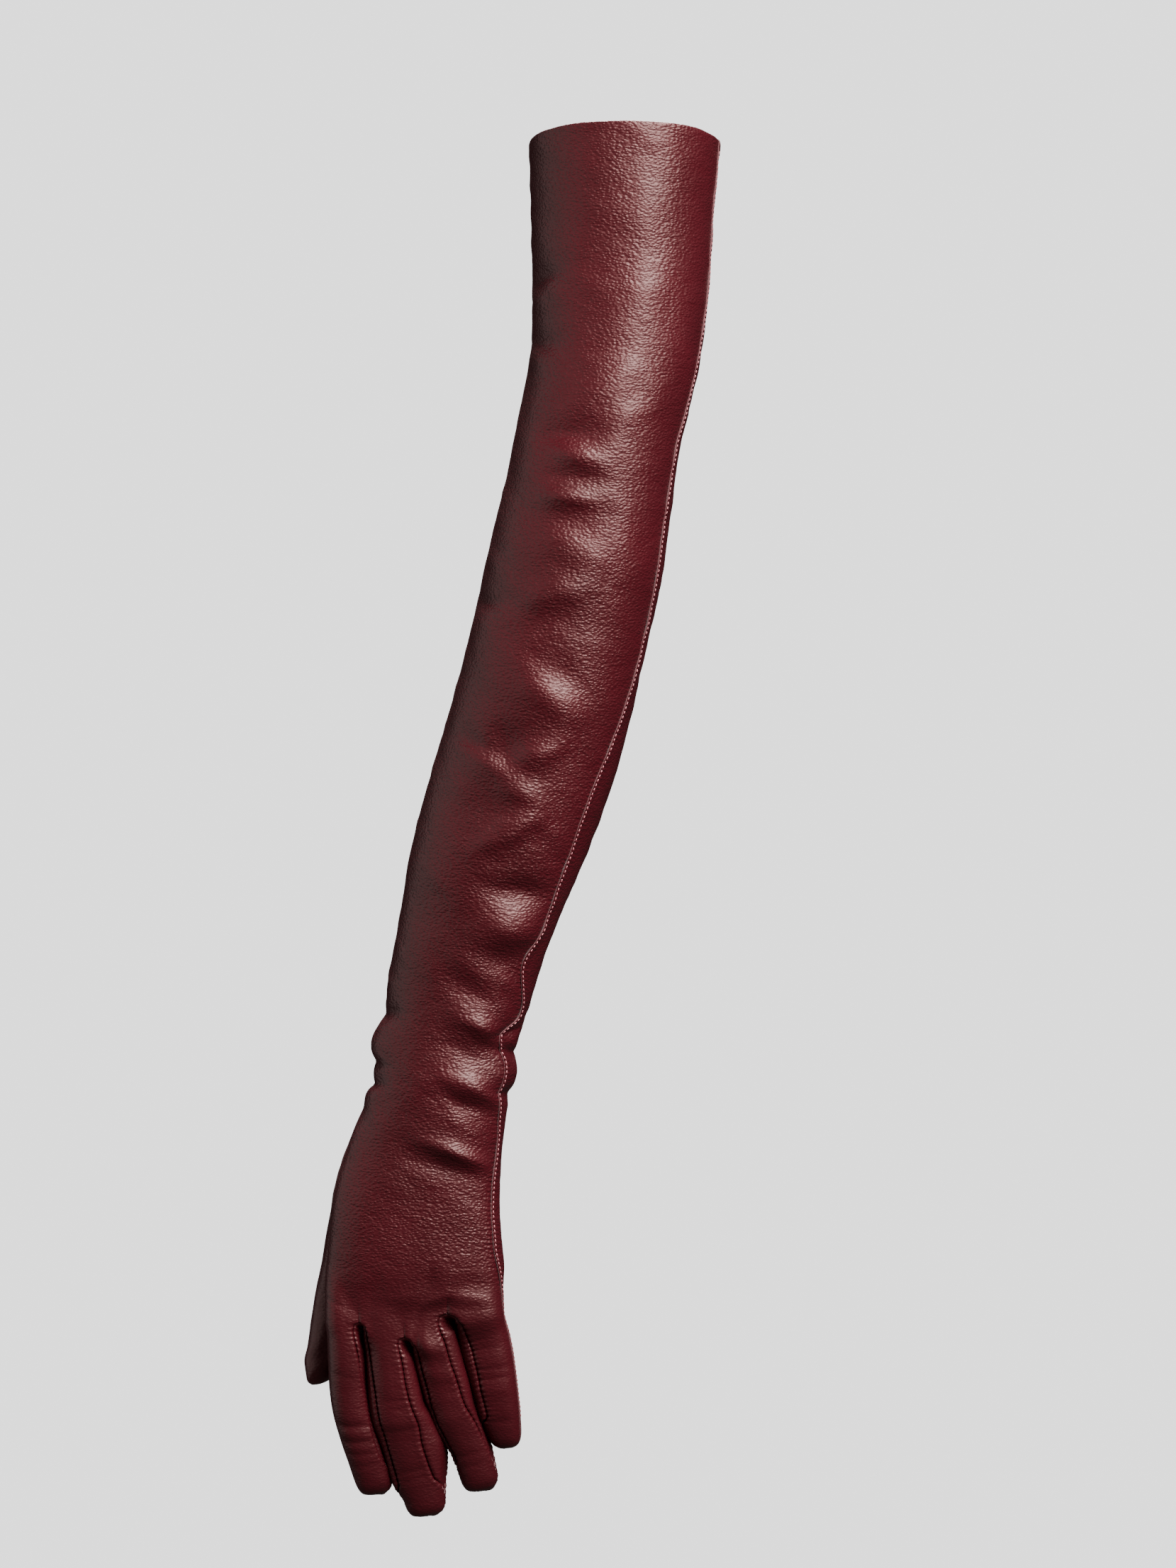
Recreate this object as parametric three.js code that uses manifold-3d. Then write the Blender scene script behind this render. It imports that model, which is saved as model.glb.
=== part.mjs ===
// Long leather glove for the left hand, in the shape it has when worn.
// Millimetres, +Z up. The origin is the middle of the open mouth at the top, +X is the side of the
// little finger, -Y is the back of the hand and +Y is the palm.

import * as THREE from 'three';
import { mergeVertices } from 'three/addons/utils/BufferGeometryUtils.js';
import Module from 'manifold-3d';

const wasm = await Module();
wasm.setup();

// Leather thickness and the gap at each seam
const wall = 1.2;
const pieceGap = 0.3;

// The mouth is higher at the back of the arm, by this much for each millimetre, down to a level.
const mouthRise = 0.16;
const mouthRiseEnds = 60;
const mouthOverrun = 8;

// Sections are ovals: 2 is a true ellipse and a larger roundness is squarer.
const sleevePoints = 20;
const sleeveRoundness = 2.1;
const handRoundness = 2.5;
const handBegins = 400;
const handIsFull = 480;
const fingerPoints = 10;
const fingerRoundness = 2.4;

// A finger has rings this far apart, and its tip closes over a length in these parts of it.
const fingerStep = 14;
const fingerTip = { length: 8, roundness: 2.5, parts: [0, 0.6, 0.9, 1], flat: 0.3 };

// Leather of the glove: a smooth burgundy nappa
const leather = { color: 0x5a1e27, roughness: 0.42, metalness: 0 };

// A table is written as its column names and one row for each section or fold.
function table(columns, rows) {
  return rows.map((row) => Object.fromEntries(columns.map((name, i) => [name, row[i]])));
}

// Sections of the sleeve and hand from the mouth down: how far down the section's middle lies, its
// place, its two widths, and how many degrees its little-finger end hangs lower than its thumb end.
const sleeveSections = table(['down', 'across', 'away', 'wide', 'deep', 'slant'], [
  [0, 0, 0, 83, 78, 0],
  [30, -1, -1, 79.5, 75, 1],
  [67, -2, -3, 76.5, 72, 3],
  [98, -5, -6, 73, 70, 6],
  [126, -11, -8, 71.5, 70, 9],
  [153, -15.5, -8, 73, 70, 12],
  [181, -21, -7, 76, 71, 14],
  [208, -27, -5, 76, 70, 15],
  [236, -33.5, -3, 76.5, 69, 16],
  [263, -41, 0, 77, 67, 17],
  [291, -50, 2, 75.5, 64, 18],
  [319, -59.5, 4, 71, 59, 18],
  [343, -66, 6, 65.5, 53, 17],
  [365, -71.5, 8, 63, 48, 15],
  [381, -75, 9, 60.5, 45, 13],
  [396, -78, 10, 61.5, 44, 11],
  [411, -80, 10, 60, 42, 9],
  [421, -82.5, 11, 62, 40, 7],
  [436, -86.5, 12, 66.5, 36, 5],
  [455, -90, 13, 71.5, 33, 3],
  [474, -91, 14, 75, 32, 1],
  [492, -91, 15, 78.5, 30, -1],
  [500, -90.5, 15.6, 79, 27, -2],
  [507, -90, 16, 74, 20, -2],
]);

// Rings are this far apart along the sleeve, down to each level.
const ringSteps = table(['upTo', 'step'], [
  [40, 20],
  [340, 13],
  [370, 10],
  [418, 5.3],
  [500, 13.7],
  [507, 7],
]);

// Dents and folds: the level of the middle, the side it is on (0 little finger, 90 palm, 180 thumb,
// 270 back of the hand), its half height, its half reach round the arm in degrees, how far it
// stands out, and how far it falls towards the little-finger side over that reach.
const folds = table(['down', 'side', 'tall', 'reach', 'out', 'fall'], [
  [59, 205, 9, 45, -2.2, -5],
  [89, 205, 9, 45, -1.8, 4],
  [127, 245, 10, 60, -3, 2],
  [138, 262, 10, 50, 1.6, 3],
  [153, 260, 7, 45, 2, 0],
  [206, 205, 8, 45, -1.8, 0],
  [235, 280, 14, 40, 1.4, 4],
  [256, 276, 12, 40, 1.2, 4],
  [267, 235, 8, 60, -2.4, 1],
  [277, 275, 9, 45, 2, 2],
  [309, 296, 9, 50, -2.6, 2],
  [326, 294, 15, 55, 2.2, 3],
  [381, 205, 6, 50, -2, 0],
  [373, 295, 9, 50, 1.4, 0],
  [387, 180, 5.5, 55, -1.8, 0],
  [396, 180, 9, 55, 1.4, 0],
  [406, 180, 5.5, 55, -1.8, 0],
  [386, 335, 6, 70, -2.6, 0],
  [397, 335, 10, 65, 1.8, 0],
  [408, 340, 6, 65, -2.2, 0],
  [429, 282, 10, 60, 1.4, 6],
  [130, 90, 10, 80, -2.6, 0],
  [148, 90, 10, 80, 2, 0],
  [163, 90, 9, 80, -2, 0],
  [392, 90, 8, 70, -2, 0],
  [401, 90, 8, 70, 1.5, 0],
]);

// Finger sections from the hand to the tip. The last row is the tip itself.
const fingerColumns = ['down', 'across', 'away', 'wide', 'thick'];
const fingers = {
  index: table(fingerColumns, [
    [497, -122, 14.5, 17, 20],
    [511, -122, 15.4, 17.2, 18.6],
    [517, -121.6, 16.3, 16.4, 18.2],
    [530, -120.8, 18, 17, 17.4],
    [540, -120.4, 20, 17.2, 17],
    [551, -119, 22, 17.2, 16.5],
    [561, -116.2, 24.5, 17.6, 15.8],
    [571, -113, 27, 17.6, 15],
    [582, -110, 30, 16.6, 13.5],
    [589.5, -108.3, 32, 15, 11.5],
  ]),
  middle: table(fingerColumns, [
    [497, -103.8, 14.5, 20, 21],
    [511, -103.6, 15.3, 19.9, 19.6],
    [516.5, -103.1, 15.8, 20, 19.2],
    [522, -102.2, 16.3, 19.4, 18.8],
    [531, -100.4, 17.6, 20.4, 18.4],
    [540, -98.8, 19, 21.2, 18],
    [551, -97, 21, 21.6, 17.5],
    [561, -94.7, 24, 20.6, 16.5],
    [571, -92.4, 26.5, 19.8, 15.8],
    [582, -89.8, 29.5, 19.2, 14.6],
    [599, -85.6, 33.5, 17.5, 12],
  ]),
  ring: table(fingerColumns, [
    [497, -84.4, 14.5, 19.4, 20],
    [508, -84, 15, 19.6, 19],
    [516.5, -83, 16.2, 21.4, 18.4],
    [522, -81, 17, 19.8, 17.8],
    [531, -78.8, 18.6, 19.8, 17.4],
    [540, -76.4, 20.5, 20, 17],
    [551, -73.8, 23, 19.4, 16.5],
    [561, -69.8, 26, 18.2, 15.5],
    [571, -66.4, 29, 17.6, 14.8],
    [588, -62, 33.5, 16, 12],
  ]),
  little: table(fingerColumns, [
    [490, -63.4, 14.5, 21, 19],
    [506, -63, 15.8, 20.6, 18],
    [512, -61.4, 17, 18.6, 17],
    [520, -58.8, 18.5, 17.6, 16.2],
    [530, -56.7, 20, 17, 15.4],
    [541, -54.9, 22.5, 16, 15],
    [551, -53.2, 25.5, 14.6, 14.5],
    [560, -52.2, 28.5, 13.6, 13.5],
    [569, -51.5, 31.5, 13, 11.5],
  ]),
};

// Thumb sections from inside the palm to the tip, and the seam round its base
const thumbSections = table(fingerColumns, [
  [418, -92, 14, 14, 14],
  [430, -99, 16, 28, 26],
  [444, -106, 20, 31, 28],
  [466, -115.5, 29, 27, 24],
  [489, -122.5, 36.5, 21, 20],
  [502, -126, 39, 20, 19],
  [515, -128.8, 40.5, 19.5, 18],
  [527, -131.4, 41, 18, 17],
  [542, -136, 41.5, 14, 13],
]);
const thumbSeamRoom = table(['down', 'room'], [
  [418, 5],
  [444, 3.5],
  [470, 1.5],
  [489, 0.6],
  [560, 0.6],
]);

// Each gap between two fingers: the fingers beside it, and the level and place of its crotch
const gaps = table(['name', 'thumbSide', 'littleSide', 'down', 'across', 'palmDown'], [
  ['fourchette_index_middle', 'index', 'middle', 511.5, -114, 513.5],
  ['fourchette_middle_ring', 'middle', 'ring', 517, -93.6, 519],
  ['fourchette_ring_little', 'ring', 'little', 507, -73.5, 509],
]);

// A fourchette is a forked strip: its crotch joins two arms, which run along the sides of the two
// fingers. On the little-finger side of a finger its edge is further in on the back than on the palm.
const fourchetteCrotch = { wide: 9, rise: 3, fall: 4, reach: 18, shift: 1, archPoints: 6 };
const fourchetteArm = {
  wideInset: 4.5, narrowInset: 1.4, start: 1, tipSetback: 5, taper: 14, reach: 0.9, depth: 2, steps: 5,
};
const web = { wide: 9, thick: 18, tall: 14, towardsPalm: 1 };

// The value of one column at a level, on a smooth curve through the rows
function columnAt(rows, column, down) {
  const last = rows.length - 1;
  const at = Math.min(Math.max(down, rows[0].down), rows[last].down);
  let i = 0;
  while (i < last - 1 && rows[i + 1].down < at) i += 1;
  const slope = (j) => {
    const before = rows[Math.max(j - 1, 0)];
    const after = rows[Math.min(j + 1, last)];
    return (after[column] - before[column]) / (after.down - before.down);
  };
  const span = rows[i + 1].down - rows[i].down;
  const t = (at - rows[i].down) / span;
  const s = 1 - t;
  return rows[i][column] * s * s * (1 + 2 * t) + rows[i + 1][column] * t * t * (1 + 2 * s)
    + span * t * s * (slope(i) * s - slope(i + 1) * t);
}

// A number that goes smoothly from 0 at the first value to 1 at the second
function smooth(from, to, value) {
  return THREE.MathUtils.smoothstep(value, from, to);
}

// A point of an oval with flattened sides: the power of the cosine and sine sets how square it is.
function ovalPoint(angle, roundness) {
  const power = 2 / roundness;
  const bent = (v) => Math.sign(v) * Math.abs(v) ** power;
  return [bent(Math.cos(angle)), bent(Math.sin(angle))];
}

// How far the folds stand out at one level and side of the sleeve
function foldAt(down, sideDegrees) {
  let out = 0;
  for (const fold of folds) {
    const turn = ((sideDegrees - fold.side + 540) % 360) - 180;
    const round = Math.abs(turn) / fold.reach;
    const along = Math.abs(down - fold.down - fold.fall * (turn / fold.reach)) / fold.tall;
    if (round < 1 && along < 1) {
      out += fold.out * Math.cos((round * Math.PI) / 2) ** 2 * Math.cos((along * Math.PI) / 2) ** 2;
    }
  }
  return out;
}

// One ring of the sleeve, moved in by the inset
function sleeveRing(down, inset, drawnDown = down) {
  const value = (column) => columnAt(sleeveSections, column, down);
  const slant = THREE.MathUtils.degToRad(value('slant'));
  const hand = smooth(handBegins, handIsFull, down);
  const roundness = THREE.MathUtils.lerp(sleeveRoundness, handRoundness, hand);
  const rise = mouthRise * (1 - smooth(0, mouthRiseEnds, down));
  const ring = [];
  for (let i = 0; i < sleevePoints; i += 1) {
    const angle = (2 * Math.PI * i) / sleevePoints;
    const [c, s] = ovalPoint(angle, roundness);
    const fold = foldAt(down, THREE.MathUtils.radToDeg(angle)) - inset;
    const u = (value('wide') / 2 + fold) * c;
    const v = (value('deep') / 2 + fold) * s;
    ring.push(new THREE.Vector3(
      value('across') + u * Math.cos(slant),
      value('away') + v,
      -drawnDown - u * Math.sin(slant) - v * rise,
    ));
  }
  return ring;
}

// The levels of the sleeve's rings
function sleeveLevels() {
  const levels = [0];
  for (const zone of ringSteps) {
    const start = levels[levels.length - 1];
    const count = Math.max(1, Math.round((zone.upTo - start) / zone.step));
    for (let i = 1; i <= count; i += 1) levels.push(start + ((zone.upTo - start) * i) / count);
  }
  return levels;
}

// The frame of a finger at one row: its middle, its across direction, its direction from the back
// to the palm, and its two half sizes. The across direction stays level, apart from the finger's lean.
function fingerFrame(rows, down) {
  const place = (at) => new THREE.Vector3(
    columnAt(rows, 'across', at), columnAt(rows, 'away', at), -at,
  );
  const along = place(down + 2).sub(place(down - 2)).normalize();
  const palm = new THREE.Vector3(0, 1, 0).addScaledVector(along, -along.y).normalize();
  return {
    middle: place(down),
    across: new THREE.Vector3().crossVectors(along, palm).normalize(),
    palm,
    wide: columnAt(rows, 'wide', down) / 2,
    thick: columnAt(rows, 'thick', down) / 2,
  };
}

// The levels of a finger's rings: even steps, then closer ones over the rounded tip
function fingerLevels(rows, tipInset) {
  const start = rows[0].down;
  const tip = rows[rows.length - 1].down - tipInset;
  const straight = tip - fingerTip.length - start;
  const count = Math.round(straight / fingerStep);
  const levels = [];
  for (let i = 0; i < count; i += 1) levels.push(start + (straight * i) / count);
  for (const part of fingerTip.parts) levels.push(start + straight + fingerTip.length * part);
  return levels;
}

// A finger or thumb as a body, moved out by the room given for each level
function fingerBody(rows, roomAt) {
  const tipInset = -roomAt(rows[rows.length - 1].down);
  const tip = rows[rows.length - 1].down - tipInset;
  const rings = fingerLevels(rows, tipInset).map((down) => {
    const frame = fingerFrame(rows, down);
    const part = Math.min(1, Math.max(0, (down - tip + fingerTip.length) / fingerTip.length));
    const close = Math.max(fingerTip.flat, (1 - part ** fingerTip.roundness) ** (1 / fingerTip.roundness));
    const room = roomAt(down);
    const ring = [];
    for (let i = 0; i < fingerPoints; i += 1) {
      const [c, s] = ovalPoint((2 * Math.PI * i) / fingerPoints, fingerRoundness);
      ring.push(frame.middle.clone()
        .addScaledVector(frame.across, (frame.wide + room) * close * c)
        .addScaledVector(frame.palm, (frame.thick + room) * close * s));
    }
    return ring;
  });
  return solid(rings);
}

// A closed body through a stack of rings, with both ends capped from their middles
function solid(rings) {
  const count = rings[0].length;
  const points = rings.flat();
  const faces = [];
  for (let r = 0; r < rings.length - 1; r += 1) {
    for (let i = 0; i < count; i += 1) {
      const a = r * count + i;
      const b = r * count + ((i + 1) % count);
      faces.push(a, b, a + count, b, b + count, a + count);
    }
  }
  for (const end of [0, rings.length - 1]) {
    const middle = rings[end].reduce((sum, p) => sum.add(p), new THREE.Vector3()).divideScalar(count);
    points.push(middle);
    for (let i = 0; i < count; i += 1) {
      const a = end * count + i;
      const b = end * count + ((i + 1) % count);
      faces.push(...(end === 0 ? [b, a, points.length - 1] : [a, b, points.length - 1]));
    }
  }
  let volume = 0;
  for (let i = 0; i < faces.length; i += 3) {
    const [a, b, c] = faces.slice(i, i + 3).map((f) => points[f]);
    volume += a.dot(new THREE.Vector3().crossVectors(b, c));
  }
  if (volume < 0) faces.reverse();
  return new wasm.Manifold(new wasm.Mesh({
    numProp: 3,
    vertProperties: new Float32Array(points.flatMap((p) => [p.x, p.y, p.z])),
    triVerts: new Uint32Array(faces),
  }));
}

// The sleeve and hand as a body, moved in by the inset. An inner form runs out past the mouth.
function sleeveBody(inset) {
  const rings = sleeveLevels().map((down) => sleeveRing(down, inset));
  if (inset > 0) {
    rings.unshift(sleeveRing(0, inset, -mouthOverrun));
    rings[rings.length - 1].forEach((p) => p.setZ(p.z + inset));
  }
  return solid(rings);
}

// The leather that fills the crotch between two fingers, as a short oval post
function webBody(gap) {
  const away = columnAt(sleeveSections, 'away', gap.down) + web.towardsPalm;
  const ring = (down) => {
    const points = [];
    for (let i = 0; i < fingerPoints; i += 1) {
      const [c, s] = ovalPoint((2 * Math.PI * i) / fingerPoints, 2);
      points.push(new THREE.Vector3(gap.across + (web.wide / 2) * c, away + (web.thick / 2) * s, -down));
    }
    return points;
  };
  return solid([ring(gap.down - web.tall), ring(gap.down)]);
}

// The whole form of the glove, moved in by the inset
function gloveForm(inset) {
  let form = sleeveBody(inset);
  for (const rows of [...Object.values(fingers), thumbSections]) {
    form = form.add(fingerBody(rows, () => -inset));
  }
  return form;
}

// The room inside the seams of the thumb, made larger by the extra given
function thumbRoom(extra) {
  return fingerBody(thumbSections, (down) => columnAt(thumbSeamRoom, 'room', down) + extra);
}

// The room inside the seams of one side of a finger: a strip that ends short of the tip. The side is
// 1 towards the little finger, where it is deeper on the back, and -1 where it is deeper on the palm.
function fingerSideRoom(rows, side, crotch, extra) {
  const arm = fourchetteArm;
  const start = crotch + arm.start - extra;
  const end = rows[rows.length - 1].down - arm.tipSetback + extra;
  const rings = [];
  for (let i = 0; i <= arm.steps; i += 1) {
    const down = start + ((end - start) * i) / arm.steps;
    const frame = fingerFrame(rows, down);
    const taper = 1 - smooth(end - arm.taper, end + arm.start, down);
    const backInset = (side > 0 ? arm.wideInset : arm.narrowInset) * taper + extra;
    const palmInset = (side > 0 ? arm.narrowInset : arm.wideInset) * taper + extra;
    const outer = frame.wide + arm.reach + extra;
    const depth = frame.thick + arm.depth + extra;
    const corner = (u, v) => frame.middle.clone()
      .addScaledVector(frame.across, side * u)
      .addScaledVector(frame.palm, v);
    rings.push([
      corner(frame.wide - backInset, -depth),
      corner(outer, -depth),
      corner(outer, depth),
      corner(frame.wide - palmInset, depth),
    ]);
  }
  return solid(rings);
}

// The room inside the seams of a fourchette: the sides of both fingers and the crotch between them
function fourchetteRoom(gap, extra) {
  const crotch = fourchetteCrotch;
  const half = crotch.wide / 2 + extra;
  const outline = [];
  for (let i = 0; i <= crotch.archPoints; i += 1) {
    const angle = (Math.PI * i) / crotch.archPoints;
    outline.push([half * Math.cos(angle), (crotch.rise + extra) * Math.sin(angle)]);
  }
  outline.push([-half, -crotch.fall - extra], [half, -crotch.fall - extra]);
  const middle = columnAt(sleeveSections, 'away', gap.down);
  const end = (y, down) => outline.map(([u, w]) => (
    new THREE.Vector3(gap.across - crotch.shift + u, y, w - down - crotch.shift)
  ));
  const arch = solid([
    end(middle - crotch.reach, gap.down - (gap.palmDown - gap.down) / 2),
    end(middle + crotch.reach, gap.palmDown),
  ]);
  return arch
    .add(fingerSideRoom(fingers[gap.thumbSide], 1, gap.down, extra))
    .add(fingerSideRoom(fingers[gap.littleSide], -1, gap.down, extra));
}

// A named mesh of one piece of leather
function piece(name, body) {
  const made = body.getMesh();
  let geometry = new THREE.BufferGeometry();
  geometry.setAttribute('position', new THREE.BufferAttribute(new Float32Array(made.vertProperties), 3));
  geometry.setIndex(new THREE.BufferAttribute(new Uint32Array(made.triVerts), 1));
  geometry = mergeVertices(geometry);
  geometry.computeVertexNormals();
  const mesh = new THREE.Mesh(geometry, new THREE.MeshStandardMaterial(leather));
  mesh.name = name;
  return mesh;
}

// The leather of the whole glove is cut along the seams into its pieces.
let outside = gloveForm(0);
for (const gap of gaps) outside = outside.add(webBody(gap));
const shell = outside.subtract(gloveForm(wall));
const halfGap = pieceGap / 2;
const glove = new THREE.Group();

let trank = shell.subtract(thumbRoom(halfGap));
glove.add(piece('thumb', shell.intersect(thumbRoom(-halfGap))));
for (const gap of gaps) {
  trank = trank.subtract(fourchetteRoom(gap, halfGap));
  glove.add(piece(gap.name, shell.intersect(fourchetteRoom(gap, -halfGap))));
}
glove.add(piece('trank', trank));

export default glove;
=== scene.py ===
# Long leather glove for the left hand in its worn shape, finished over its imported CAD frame.
import math

import bpy
import numpy as np
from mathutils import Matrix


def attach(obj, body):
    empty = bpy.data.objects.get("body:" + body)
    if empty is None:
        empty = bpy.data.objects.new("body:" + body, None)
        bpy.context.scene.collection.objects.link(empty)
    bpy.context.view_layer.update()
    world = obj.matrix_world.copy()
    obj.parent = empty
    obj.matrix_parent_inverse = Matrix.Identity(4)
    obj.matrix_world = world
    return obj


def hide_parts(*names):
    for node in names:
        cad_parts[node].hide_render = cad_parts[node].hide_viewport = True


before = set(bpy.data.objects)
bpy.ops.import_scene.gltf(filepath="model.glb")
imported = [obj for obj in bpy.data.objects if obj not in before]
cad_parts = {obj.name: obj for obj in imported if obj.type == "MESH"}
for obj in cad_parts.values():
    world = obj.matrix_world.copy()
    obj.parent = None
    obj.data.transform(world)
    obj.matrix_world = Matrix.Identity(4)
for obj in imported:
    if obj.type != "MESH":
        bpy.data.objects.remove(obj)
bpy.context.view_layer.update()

metre = 0.001            # shapes are worked out in millimetres and put into meshes in metres
print("frame loaded:", ", ".join(sorted(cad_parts)))

# The camera stands where the photograph was taken from: level with the forearm, behind the hand.
camera = dict(place=(-15.83, -2550.0, -277.6), lens=135.0, sensorHeight=36.0)


def addObject(name, data):
    made = bpy.data.objects.new(name, data)
    bpy.context.scene.collection.objects.link(made)
    return made


def makeCamera():
    data = bpy.data.cameras.new("camera")
    data.sensor_fit = "VERTICAL"
    data.sensor_height = camera["sensorHeight"]
    data.lens = camera["lens"]
    made = addObject("camera", data)
    made.location = [v * metre for v in camera["place"]]
    made.rotation_euler = (math.radians(90), 0, 0)
    bpy.context.scene.camera = made


makeCamera()


# A table of named columns, its rows parted by semicolons, as one array for each column
def table(columns, rows):
    return dict(zip(columns.split(), np.array([row.split() for row in rows.split(";")], float).T))


# 0 before the start, 1 after the end, and 3t^2 - 2t^3 between them
def smooth(start, end, value):
    t = np.clip((value - start) / (end - start), 0, 1)
    return t * t * (3 - 2 * t)


def mix(a, b, part):
    return a + (b - a) * part


# A column's value at a level: a cubic through the rows, with the slope at each of the line between
# its neighbours. It is level past both ends.
def valueAt(rows, column, down):
    x, y = rows["down"], rows[column]
    order = np.arange(len(x))
    before, after = np.maximum(order - 1, 0), np.minimum(order + 1, len(x) - 1)
    slope = (y[after] - y[before]) / (x[after] - x[before])
    at = np.clip(down, x[0], x[-1])
    i = np.clip(np.searchsorted(x, at, side="right") - 1, 0, len(x) - 2)
    span = x[i + 1] - x[i]
    t = (at - x[i]) / span
    s = 1 - t
    return (y[i] * s * s * (1 + 2 * t) + y[i + 1] * t * t * (1 + 2 * s)
            + span * t * s * (slope[i] * s - slope[i + 1] * t))


# A superellipse: the cosine and sine of the side, each to the power 2 / roundness, keeping its sign
def ovalPoint(side, roundness):
    c, s = np.cos(np.radians(side)), np.sin(np.radians(side))
    return (np.sign(c) * np.abs(c) ** (2 / roundness), np.sign(s) * np.abs(s) ** (2 / roundness))


# Soft noise from -1 to 1: random values on a lattice, joined by 3t^2 - 2t^3. The first coordinate
# repeats after so many cells, to close round the arm.
def softNoise(x, y, around, seed, along=257):
    cells = np.random.default_rng(seed).uniform(-1, 1, (around, along))
    xi, yi = np.floor(x).astype(int), np.floor(y).astype(int)
    fx, fy = smooth(0, 1, x - xi), smooth(0, 1, y - yi)
    x0, x1, y0, y1 = xi % around, (xi + 1) % around, yi % along, (yi + 1) % along
    return mix(mix(cells[x0, y0], cells[x1, y0], fx), mix(cells[x0, y1], cells[x1, y1], fx), fy)


# Vectors over their own length
def unit(vectors):
    return vectors / np.maximum(np.linalg.norm(vectors, axis=-1, keepdims=True), 1e-9)


# The way along a grid's rows or columns: the sum of the steps from the first point
def lengthAlong(points, axis):
    steps = np.linalg.norm(np.diff(points, axis=axis), axis=-1)
    return np.concatenate([0 * np.take(steps, [0], axis), np.cumsum(steps, axis=axis)], axis=axis)


# Faces between neighbouring rows and columns of a grid, apart from the columns and faces left out
def gridFaces(shape, skipColumns=(), keep=None):
    order = np.arange(shape[0] * shape[1]).reshape(shape)
    faces = np.stack([order[:-1, :-1], order[:-1, 1:], order[1:, 1:], order[1:, :-1]], axis=-1)
    wanted = np.ones(faces.shape[:2], bool) if keep is None else keep.copy()
    wanted[:, list(skipColumns)] = False
    return faces[wanted]


# The faces, and the direction at each point: the sum of the cross products of its faces' diagonals,
# over the points that share an id. Both are turned if they go against the outward way at one spot.
def faceOutward(points, ids, faces, spot, direction):
    flat = points.reshape(-1, 3)
    cross = np.cross(flat[faces[:, 2]] - flat[faces[:, 0]], flat[faces[:, 3]] - flat[faces[:, 1]])
    total = np.zeros((ids.size, 3))
    for corner in range(4):
        np.add.at(total, ids.ravel()[faces[:, corner]], cross)
    normals = unit(total[ids.ravel()]).reshape(points.shape)
    inward = (normals[spot] * direction).sum() < 0
    return (faces[:, ::-1], -normals) if inward else (faces, normals)


# Puts a grid into a mesh object. Points that share an id become one vertex, and a face that has
# lost an edge becomes a triangle.
def meshPiece(name, points, ids, faces, materials, seamPlace=None):
    _, first, new = np.unique(ids.ravel(), return_index=True, return_inverse=True)
    welded = new[faces]
    lost = welded == np.roll(welded, -1, axis=1)
    one = lost.sum(axis=1) == 1
    fours = faces[~lost.any(axis=1)]
    threes = np.concatenate([faces[lost[:, k] & one][:, [k, (k + 2) % 4, (k + 3) % 4]] for k in range(4)])
    mesh = bpy.data.meshes.new(name)
    vertices = points.reshape(-1, 3)[first] * metre
    mesh.from_pydata(vertices, [], new[fours].tolist() + new[threes].tolist(), shade_flat=False)
    if seamPlace is not None:
        corners = np.concatenate([fours.ravel(), threes.ravel()])
        mesh.uv_layers.new(name="seam").uv.foreach_set("vector", seamPlace.reshape(-1, 2)[corners].ravel())
    mesh.validate()
    for material in materials:
        mesh.materials.append(material)
    return addObject(name, mesh)


# The glove's form, with nearly the sections of its CAD model: how far down the middle of each is, its
# place, its two widths and how far it slants to the right
sleeve = table("down across away wide deep slant", """
    0 0 0 83 78 0; 30 -1 -1 79.5 75 1; 67 -2 -3 76.5 72 3; 98 -5 -6 73 70 6; 126 -11 -8 71.5 70 9;
    153 -15.5 -8 73 70 12; 181 -21 -7 76 71 14; 208 -27 -5 76 70 15; 236 -33.5 -3 76.5 69 16;
    263 -41 0 77 67 17; 291 -50 2 75.5 64 18; 319 -59.5 4 71 59 18; 343 -66 6 65.5 53 17;
    365 -71.5 8 63 48 15; 381 -75 9 60.5 45 13; 396 -78 10 61.5 44 11; 411 -80 10 60 42 9;
    421 -82.5 11 62 40 7; 436 -86.5 12 66.5 36 5; 455 -90 13 71.5 33 3; 474 -91 14 75 32 1;
    490 -91 14.8 78.3 28 -1; 499 -91.2 15.2 78.8 23.5 -1.6; 508 -91.4 15.6 78.4 20.4 -2;
    518 -91.4 16 78 19.6 -2""")
form = dict(sleeveRoundness=2.1, handRoundness=2.5, handBegins=400, handIsFull=480,
            fingerRoundness=2.4, mouthRise=0.16, mouthRiseEnds=60)

sections = "down across away wide thick"

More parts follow.
